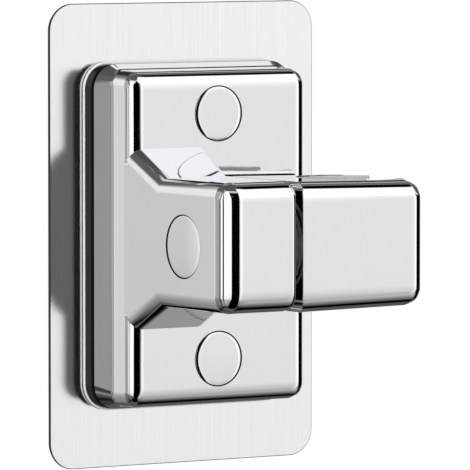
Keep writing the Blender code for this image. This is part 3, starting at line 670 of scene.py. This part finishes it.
bpy.ops.mesh.select_all(action="SELECT")
bpy.ops.mesh.normals_make_consistent(inside=False)


def arm_rounding(at, way):
    """The arm's outer edges are soft, and those beside the socket block are tighter."""
    if abs(way.y) > 0.5:
        return ARM_R if near(at.x, arm_left) else ARM_INNER_R
    if near(at.y, ARM_FRONT_Y):
        if abs(way.x) > 0.5:
            return ARM_TOP_R if at.z > 0 else ARM_BOTTOM_R
        return ARM_FRONT_R if near(at.x, arm_left) else ARM_GAP_R
    return 0.0


round_by(arm, arm_rounding)
crown_front(arm, ARM_FRONT_Y, ARM_CROWN_DEPTH,
            Vector((arm_left + ARM_FRONT_R, 0.0, ARM_BOTTOM_R - ARM_H / 2 - ARM_DROP)),
            Vector((arm_right - ARM_GAP_R, 0.0, ARM_H / 2 - ARM_TOP_R - ARM_DROP + ARM_RISE)),
            ARM_BANDS, ARM_LEANS)
bpy.ops.object.mode_set(mode="OBJECT")
combine(cover, arm, "UNION")

# Inside, the shell is hollow, with a boss round each stud and the pivot's barrel
hollow = block_between("hollow", Vector((WALL - COVER_W / 2, COVER_FRONT_Y + WALL, WALL - COVER_H / 2)),
                       Vector((COVER_W / 2 - WALL, COVER_BACK_Y + MM, COVER_H / 2 - WALL)))
bpy.ops.object.mode_set(mode="OBJECT")
combine(cover, hollow, "DIFFERENCE")
hollow = block_between("hollow", Vector((arm_left + WALL, ARM_FRONT_Y + WALL, WALL - ARM_H / 2 - ARM_DROP)),
                       Vector((arm_right - WALL, COVER_FRONT_Y + 2 * WALL, ARM_H / 2 - WALL - ARM_DROP)))
bpy.ops.object.mode_set(mode="OBJECT")
combine(cover, hollow, "DIFFERENCE")
inside_front = COVER_FRONT_Y + WALL / 2
pivot = Vector((0.0, PIVOT_Y, -ARM_DROP))
for height in (STUD_Z, -STUD_Z):
    combine(cover, rod("boss", Vector((STUD_X, COVER_BACK_Y, height)), Vector((STUD_X, inside_front, height)),
                       BOSS_R), "UNION")
    combine(cover, rod("cup", Vector((STUD_X, CAP_HOLE_END_Y, height)),
                       Vector((STUD_X, COVER_FRONT_Y - MM, height)), CAP_HOLE_R, 128), "DIFFERENCE")
    combine(cover, rod("drill", Vector((STUD_X, COVER_BACK_Y + MM, height)),
                       Vector((STUD_X, CAP_HOLE_END_Y - MM, height)), STUD_HOLE_R), "DIFFERENCE")
combine(cover, rod("barrel", pivot + Vector((arm_left + WALL / 2, 0.0, 0.0)),
                   pivot + Vector((arm_right - WALL / 2, 0.0, 0.0)), BARREL_R), "UNION")
for start, end, radius in ((arm_left - MM, SIDE_HOLE_END_X, SIDE_HOLE_R),
                           (SIDE_HOLE_END_X - MM, STACK_END_X, STACK_R),
                           (STACK_END_X - MM, arm_right + MM, BUSH_HOLE_R)):
    combine(cover, rod("drill", pivot + Vector((start, 0.0, 0.0)), pivot + Vector((end, 0.0, 0.0)),
                       radius, 128), "DIFFERENCE")
bpy.context.view_layer.objects.active = cover
settle(cover, CHROME_ANGLE)

# Bright decorative chrome over nickel and copper: a mirror, with the moulding's faint waviness under it
# and a haze of fine wiping marks.
chrome, tree, shader, place = new_finish("bright chrome plating", "#E9E9EC", 1.0, 0.03)
waves = add_node(tree, "ShaderNodeTexNoise", {"Vector": place, "Scale": 1 / (5 * MM), "Detail": 1.0})
orange_peel = add_node(tree, "ShaderNodeBump", {"Height": waves.outputs["Fac"], "Strength": 0.5,
                                                "Distance": 0.004 * MM})
tree.links.new(orange_peel.outputs[0], shader.inputs["Normal"])
wiped = add_node(tree, "ShaderNodeTexNoise", {"Vector": place, "Scale": 1 / (9 * MM), "Detail": 5.0})
haze = add_node(tree, "ShaderNodeMapRange", {"Value": wiped.outputs["Fac"], "From Min": 0.35,
                                             "From Max": 0.75, "To Min": 0.02, "To Max": 0.06})
tree.links.new(haze.outputs[0], shader.inputs["Roughness"])

# Painted shade: the walls of the caps' narrow recesses and the caps' skirts take a near-black, dull material
# for the shade down the gaps.
painted_recess_shade, tree, shader, place = new_finish("painted recess shade", "#0B0B0C", 0.0, 0.6)
grit = add_node(tree, "ShaderNodeTexNoise", {"Vector": place, "Scale": 1 / (0.5 * MM), "Detail": 3.0})
dulled = add_node(tree, "ShaderNodeMapRange", {"Value": grit.outputs["Fac"], "To Min": 0.5, "To Max": 0.7})
tree.links.new(dulled.outputs[0], shader.inputs["Roughness"])
shader.inputs["Specular IOR Level"].default_value = 0.2
dress(cover, "root", "chrome", chrome, painted_recess_shade)
# Painted shade: the walls of the cap recesses and of the side cap's hole take the near-black material.
for face in cover.data.polygons:
    at = face.center
    in_cap_hole = abs(face.normal.y) < 0.5 and at.y < CAP_HOLE_END_Y \
        and math.hypot(at.x - STUD_X, abs(at.z) - STUD_Z) < CAP_HOLE_R
    in_side_hole = abs(face.normal.x) < 0.5 and at.x < SIDE_HOLE_END_X \
        and math.hypot(at.y - PIVOT_Y, at.z + ARM_DROP) < SIDE_HOLE_R
    face.material_index = 1 if in_cap_hole or in_side_hole else 0
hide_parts("body_shell")


# Snap-in caps. Two chromed discs hide the nuts on the studs, and a larger one hides the swivel's
# screw in the arm's left side. Each has a skirt that clips into its recess, and a slightly raised face.
CAP_T = 1.5 * MM
CAP_SKIRT_T = 1.1 * MM
CAP_EDGE_R = 0.1 * MM
CAP_CROWN, SIDE_CAP_CROWN = 0.1 * MM, 0.2 * MM
CAP_RINGS = 6
CAP_RING_SHARE, CAP_RIM_SHARE = 0.98, 0.98
CAP_ANGLE = math.radians(30)
CAP_SEGMENTS = 128


def snap_cap(name, node, face_at, face_out, radius, depth, crown):
    """A cap whose face looks along face_out, with its skirt drawn back behind it."""
    bpy.ops.object.select_all(action="DESELECT")
    bpy.ops.mesh.primitive_circle_add(vertices=CAP_SEGMENTS, radius=radius - CAP_SKIRT_T, fill_type="NGON")
    cap = bpy.context.object
    cap.name = name
    bpy.ops.object.mode_set(mode="EDIT")
    bpy.ops.transform.translate(value=(0.0, 0.0, -CAP_T))
    for share, upwards_by in ((1.0, CAP_T - depth), (radius / (radius - CAP_SKIRT_T), 0.0),
                              (1.0, depth - crown)):
        pick("EDGE", lambda e: len(e.link_faces) < 2)
        bpy.ops.mesh.extrude_edges_move(TRANSFORM_OT_translate={"value": (0.0, 0.0, upwards_by)})
        bpy.ops.transform.resize(value=(share, share, 1.0))
    pick("EDGE", lambda e: len(e.link_faces) < 2)
    bpy.ops.mesh.edge_face_add()
    for ring in range(CAP_RINGS):
        outer, inner = 1 - ring / CAP_RINGS, 1 - (ring + 1) / CAP_RINGS
        bpy.ops.mesh.inset(thickness=radius / CAP_RINGS * CAP_RING_SHARE)
        bpy.ops.transform.translate(value=(0.0, 0.0, crown * (outer ** 2 - inner ** 2)))
    bpy.ops.mesh.select_all(action="SELECT")
    bpy.ops.mesh.normals_make_consistent(inside=False)
    pick("EDGE", lambda e: near(middle(e).z, -crown, 0.01 * MM) and abs(along(e).z) < 0.1
         and middle(e).xy.length > radius * CAP_RIM_SHARE)
    bpy.ops.mesh.bevel(offset=CAP_EDGE_R, segments=4, clamp_overlap=False)
    bpy.ops.object.mode_set(mode="OBJECT")
    cap.matrix_world = Matrix.Translation(face_at) @ face_out.to_track_quat("Z", "Y").to_matrix().to_4x4()
    settle(cap, CAP_ANGLE)
    dress(cap, "root", "chrome", chrome, painted_recess_shade)
    # Painted shade: the cap's skirt takes the near-black material, for the shade in the gap round it.
    for face in cap.data.polygons:
        face.material_index = 0 if abs(face.normal.dot(face_out)) > 0.3 else 1
    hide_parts(node)
    return cap


for node, height in (("upper_screw_cap", STUD_Z), ("lower_screw_cap", -STUD_Z)):
    cap_low, cap_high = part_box(node)
    snap_cap(node + "_chromed", node, Vector((STUD_X, cap_low.y, height)), Vector((0.0, -1.0, 0.0)),
             (cap_high.x - cap_low.x) / 2, cap_high.y - cap_low.y, CAP_CROWN)
cap_low, cap_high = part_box("side_cap")
snap_cap("side_cap_chromed", "side_cap", Vector((cap_low.x, PIVOT_Y, -ARM_DROP)), Vector((-1.0, 0.0, 0.0)),
         (cap_high.z - cap_low.z) / 2, cap_high.x - cap_low.x, SIDE_CAP_CROWN)


# Socket block. A chromed ABS moulding that tapers slightly towards its free end. A tapered bore
# runs down through it for the handset, and a slot on the right lets the hose in.
BLOCK_TIP_DROP = 0.6 * MM
BLOCK_R, BLOCK_FRONT_R, BLOCK_END_R = 4.3 * MM, 3.9 * MM, 2.55 * MM
BLOCK_INNER_R, BLOCK_INNER_TOP_R = 0.12 * MM, 1.2 * MM
BLOCK_REACH = 0.25 * MM
BLOCK_DEEPER = 0.2 * MM
BLOCK_BANDS, BLOCK_LEANS = (1.0 * MM, 2.5 * MM, 2.0 * MM, 2.0 * MM), (1, 3, 6, 6)
BLOCK_CROWN_DEPTH = 5.0 * MM
BORE_X = 24.5 * MM
BORE_Y = -46.8 * MM
LINER_GAP = 0.3 * MM
CONE_TOP_R, CONE_BOTTOM_R = 11.97 * MM, 10.33 * MM
LINER_T = 1.5 * MM
RIM_W, RIM_T = 0.8 * MM, 1.0 * MM
RIM_TOP = 16.55 * MM
SLOT_W = 16.0 * MM
LINER_STEPS = 144
SLOT_EDGE_R = 0.4 * MM
SLOT_WALL_START = 9 * MM
MOUTH_R = 15.2 * MM
MOUTH_TOP, MOUTH_BOTTOM = 15.5 * MM, -16 * MM

block_low, block_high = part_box("socket_block")
block_low.x -= BLOCK_REACH
block_low.z -= BLOCK_DEEPER
block = block_between("socket_block_chromed", block_low, block_high)
pick("FACE", lambda f: f.normal.x > 0.9)
bpy.ops.transform.resize(value=(1.0, 1.0, 1.0 - 2 * BLOCK_TIP_DROP / (block_high.z - block_low.z)),
                         center_override=((block_low + block_high) / 2))


def block_rounding(at, way):
    """All edges are soft but those against the arm, which are nearly sharp."""
    if near(at.x, block_low.x, MM):
        return BLOCK_INNER_TOP_R if abs(way.y) > 0.5 else BLOCK_INNER_R
    if abs(way.y) > 0.5:
        return BLOCK_R
    return BLOCK_FRONT_R if abs(way.x) > 0.5 else BLOCK_END_R


round_by(block, block_rounding)
crown_front(block, block_low.y, BLOCK_CROWN_DEPTH,
            Vector((block_low.x + BLOCK_INNER_R, 0.0, block_low.z + BLOCK_FRONT_R + BLOCK_TIP_DROP / 2)),
            Vector((block_high.x - BLOCK_END_R, 0.0, block_high.z - BLOCK_FRONT_R - BLOCK_TIP_DROP / 2)),
            BLOCK_BANDS, BLOCK_LEANS)
bpy.ops.object.mode_set(mode="OBJECT")

bpy.ops.object.select_all(action="DESELECT")
bore_top = block_high.z + MM
bore_bottom = block_low.z - MM
bore_half = (bore_top - bore_bottom) / 2


def cone_radius(height):
    """The liner's inner radius at a height above or below the middle of the bore."""
    return (CONE_TOP_R + CONE_BOTTOM_R) / 2 + (CONE_TOP_R - CONE_BOTTOM_R) / (2 * RIM_TOP) * height


bpy.ops.mesh.primitive_cone_add(vertices=LINER_STEPS, radius1=cone_radius(-bore_half) + LINER_T + LINER_GAP,
                                radius2=cone_radius(bore_half) + LINER_T + LINER_GAP,
                                depth=2 * bore_half, location=(BORE_X, BORE_Y, -ARM_DROP))
combine(block, bpy.context.object, "DIFFERENCE")
liner_low, liner_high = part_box("socket_liner")
seat_z = liner_high.z - RIM_T - LINER_GAP
combine(block, rod("recess", Vector((BORE_X, BORE_Y, seat_z)), Vector((BORE_X, BORE_Y, bore_top)),
                   CONE_TOP_R + LINER_T + LINER_GAP + RIM_W, 160), "DIFFERENCE")
slot_box = block_between("hose_slot", Vector((BORE_X, BORE_Y - SLOT_W / 2, bore_bottom)),
                         Vector((block_high.x + MM, BORE_Y + SLOT_W / 2, bore_top)))
bpy.ops.object.mode_set(mode="OBJECT")
combine(block, slot_box, "DIFFERENCE")
insert_low, insert_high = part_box("pivot_insert")
combine(block, rod("insert_pocket", pivot + Vector((block_low.x - MM, 0.0, 0.0)),
                   pivot + Vector((insert_high.x + LINER_GAP, 0.0, 0.0)),
                   (insert_high.z - insert_low.z) / 2 + LINER_GAP), "DIFFERENCE")


def on_slot(edge):
    """Tells whether an edge bounds the slot's two walls or the bore's mouths."""
    at = middle(edge)
    across = abs(at.y - BORE_Y)
    mouth = math.hypot(at.x - BORE_X, at.y - BORE_Y)
    wall = near(across, SLOT_W / 2) and at.x > BORE_X + SLOT_WALL_START and abs(along(edge).y) < 0.2
    rim = abs(along(edge).z) < 0.3 and mouth < MOUTH_R and (at.z > MOUTH_TOP or at.z < MOUTH_BOTTOM)
    return wall or rim


bpy.ops.object.mode_set(mode="EDIT")
round_rims(SLOT_EDGE_R, 3, on_slot)
settle(block, CHROME_ANGLE)
dress(block, "socket", "chrome", chrome)
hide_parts("socket_block")


# Socket liner. A C-shaped sleeve of grey soft rubber pressed into the bore, so that the handle's cone
# grips and doesn't scratch. Its notched rim sits in a recess on top, and it is open towards the slot.
NOTCH_COUNT = 8
NOTCH_W = 2.0 * MM
LIP_R = 0.35 * MM


def turned_ring(name, stations, segments):
    """A ring drawn round the upright axis through stations of radius and height, closed on itself."""
    bpy.ops.object.select_all(action="DESELECT")
    bpy.ops.mesh.primitive_circle_add(vertices=segments, radius=stations[0][0], fill_type="NOTHING")
    ring = bpy.context.object
    ring.name = name
    bpy.ops.object.mode_set(mode="EDIT")
    bpy.ops.transform.translate(value=(0.0, 0.0, stations[0][1]))
    for (radius, height), (next_radius, next_height) in zip(stations, stations[1:]):
        pick("EDGE", lambda e: len(e.link_faces) < 2 and near(middle(e).z, height, 0.001 * MM)
             and abs(e.verts[0].co.xy.length - radius) < 0.001 * MM)
        bpy.ops.mesh.extrude_edges_move(TRANSFORM_OT_translate={"value": (0.0, 0.0, next_height - height)})
        share = next_radius / radius
        bpy.ops.transform.resize(value=(share, share, 1.0))
    pick("EDGE", lambda e: len(e.link_faces) < 2)
    bpy.ops.mesh.bridge_edge_loops()
    bpy.ops.mesh.select_all(action="SELECT")
    bpy.ops.mesh.normals_make_consistent(inside=False)
    return ring


under_rim = RIM_TOP - RIM_T
rim_r = cone_radius(RIM_TOP) + LINER_T + RIM_W
liner = turned_ring("socket_liner_rubber", ((cone_radius(-RIM_TOP), -RIM_TOP),
                                            (cone_radius(-RIM_TOP) + LINER_T, -RIM_TOP),
                                            (cone_radius(under_rim) + LINER_T, under_rim),
                                            (rim_r, under_rim), (rim_r, RIM_TOP),
                                            (cone_radius(RIM_TOP), RIM_TOP)), LINER_STEPS)
round_rims(LIP_R, 4, lambda e: not near(middle(e).z, under_rim, 0.2 * MM))
bpy.ops.object.mode_set(mode="OBJECT")
slot_box = block_between("hose_slot", Vector((0.0, -SLOT_W / 2, -bore_half)),
                         Vector((2 * rim_r, SLOT_W / 2, bore_half)))
bpy.ops.object.mode_set(mode="OBJECT")
combine(liner, slot_box, "DIFFERENCE")
for index in range(NOTCH_COUNT):
    angle = math.tau * (index + 0.5) / NOTCH_COUNT
    if math.cos(angle) > 0 and abs(rim_r * math.sin(angle)) < SLOT_W / 2 + NOTCH_W:
        continue
    notch = block_between("notch", Vector((rim_r - RIM_W, -NOTCH_W / 2, under_rim - RIM_T)),
                          Vector((rim_r + RIM_W, NOTCH_W / 2, bore_half)))
    bpy.ops.object.mode_set(mode="OBJECT")
    notch.matrix_world = Matrix.Rotation(angle, 4, "Z")
    combine(liner, notch, "DIFFERENCE")
liner.matrix_world = Matrix.Translation((BORE_X, BORE_Y, -ARM_DROP))
settle(liner)

# Moulded rubber: light grey and matt, with a fine grain that breaks up its highlights.
rubber, tree, shader, place = new_finish("grey soft rubber", "#BCBEC1", 0.0, 0.5)
grain = add_node(tree, "ShaderNodeTexNoise", {"Vector": place, "Scale": 1 / (0.6 * MM), "Detail": 4.0})
shade = add_node(tree, "ShaderNodeMix", {"Factor": grain.outputs["Fac"]}, data_type="RGBA")
shade.inputs[6].default_value = linear("#B0B2B5")
shade.inputs[7].default_value = linear("#C8CACD")
tree.links.new(shade.outputs[2], shader.inputs["Base Color"])
matt_bump = add_node(tree, "ShaderNodeBump", {"Height": grain.outputs["Fac"], "Strength": 0.3,
                                              "Distance": 0.05 * MM})
tree.links.new(matt_bump.outputs[0], shader.inputs["Normal"])
dress(liner, "socket", "liner_rubber", rubber)
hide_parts("socket_liner")


# Swivel. A brass insert in the block takes the pivot screw, which draws the block and an acetal
# friction disc against the arm through a disc spring. The bush in the arm carries the screw.
# Each finish: slot, name, colour, metallic, roughness, size and detail of its marks, and the
# roughness from and to. Turned steel has a satin shine with fine tool marks, spring steel is darker
# under an oil film, turned brass is warm and brighter, and acetal is milk white with a soft sheen.
SWIVEL_FINISHES = (
    ("steel", "turned stainless steel", "#C8C9CC", 1.0, 0.28, 0.4 * MM, 3.0, 0.2, 0.38),
    ("spring_steel", "hardened spring steel", "#7B7D80", 1.0, 0.35, 2 * MM, 3.0, 0.25, 0.45),
    ("brass", "turned brass", "#D9B878", 1.0, 0.25, 0.4 * MM, 3.0, 0.18, 0.32),
    ("acetal", "white acetal", "#EDEDEA", 0.0, 0.35, 3 * MM, 2.0, 0.28, 0.42),
)
finishes = {}
for slot, name, colour, metallic, roughness, mark_size, detail, smoothest, roughest in SWIVEL_FINISHES:
    finishes[slot], tree, shader, place = new_finish(name, colour, metallic, roughness)
    marks = add_node(tree, "ShaderNodeTexNoise", {"Vector": place, "Scale": 1 / mark_size,
                                                  "Detail": detail})
    dulled = add_node(tree, "ShaderNodeMapRange", {"Value": marks.outputs["Fac"], "To Min": smoothest,
                                                   "To Max": roughest})
    tree.links.new(dulled.outputs[0], shader.inputs["Roughness"])

# The friction disc: a plain acetal ring with broken edges, which rides on the block's pin
DISC_HOLE_R = 3.3 * MM
DISC_EDGE_R = 0.25 * MM
disc_low, disc_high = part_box("friction_disc")
disc_r, disc_half = (disc_high.z - disc_low.z) / 2, (disc_high.x - disc_low.x) / 2
disc = turned_ring("friction_disc_acetal", ((DISC_HOLE_R, -disc_half), (disc_r, -disc_half),
                                            (disc_r, disc_half), (DISC_HOLE_R, disc_half)), 128)
round_rims(DISC_EDGE_R, 3)
bpy.ops.object.mode_set(mode="OBJECT")
disc.matrix_world = Matrix.Translation((disc_low + disc_high) / 2) @ Matrix.Rotation(math.pi / 2, 4, "Y")
settle(disc)
dress(disc, "socket", "acetal", finishes["acetal"])
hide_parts("friction_disc")

# The hidden pieces keep their CAD shapes and take the finish of their slot
slots = {part["node"]: part["material_slot"] for part in frame["record"]["subparts"]}
for node, obj in frame["nodes"].items():
    if slots[node] in finishes:
        obj.data.materials.clear()
        obj.data.materials.append(finishes[slots[node]])
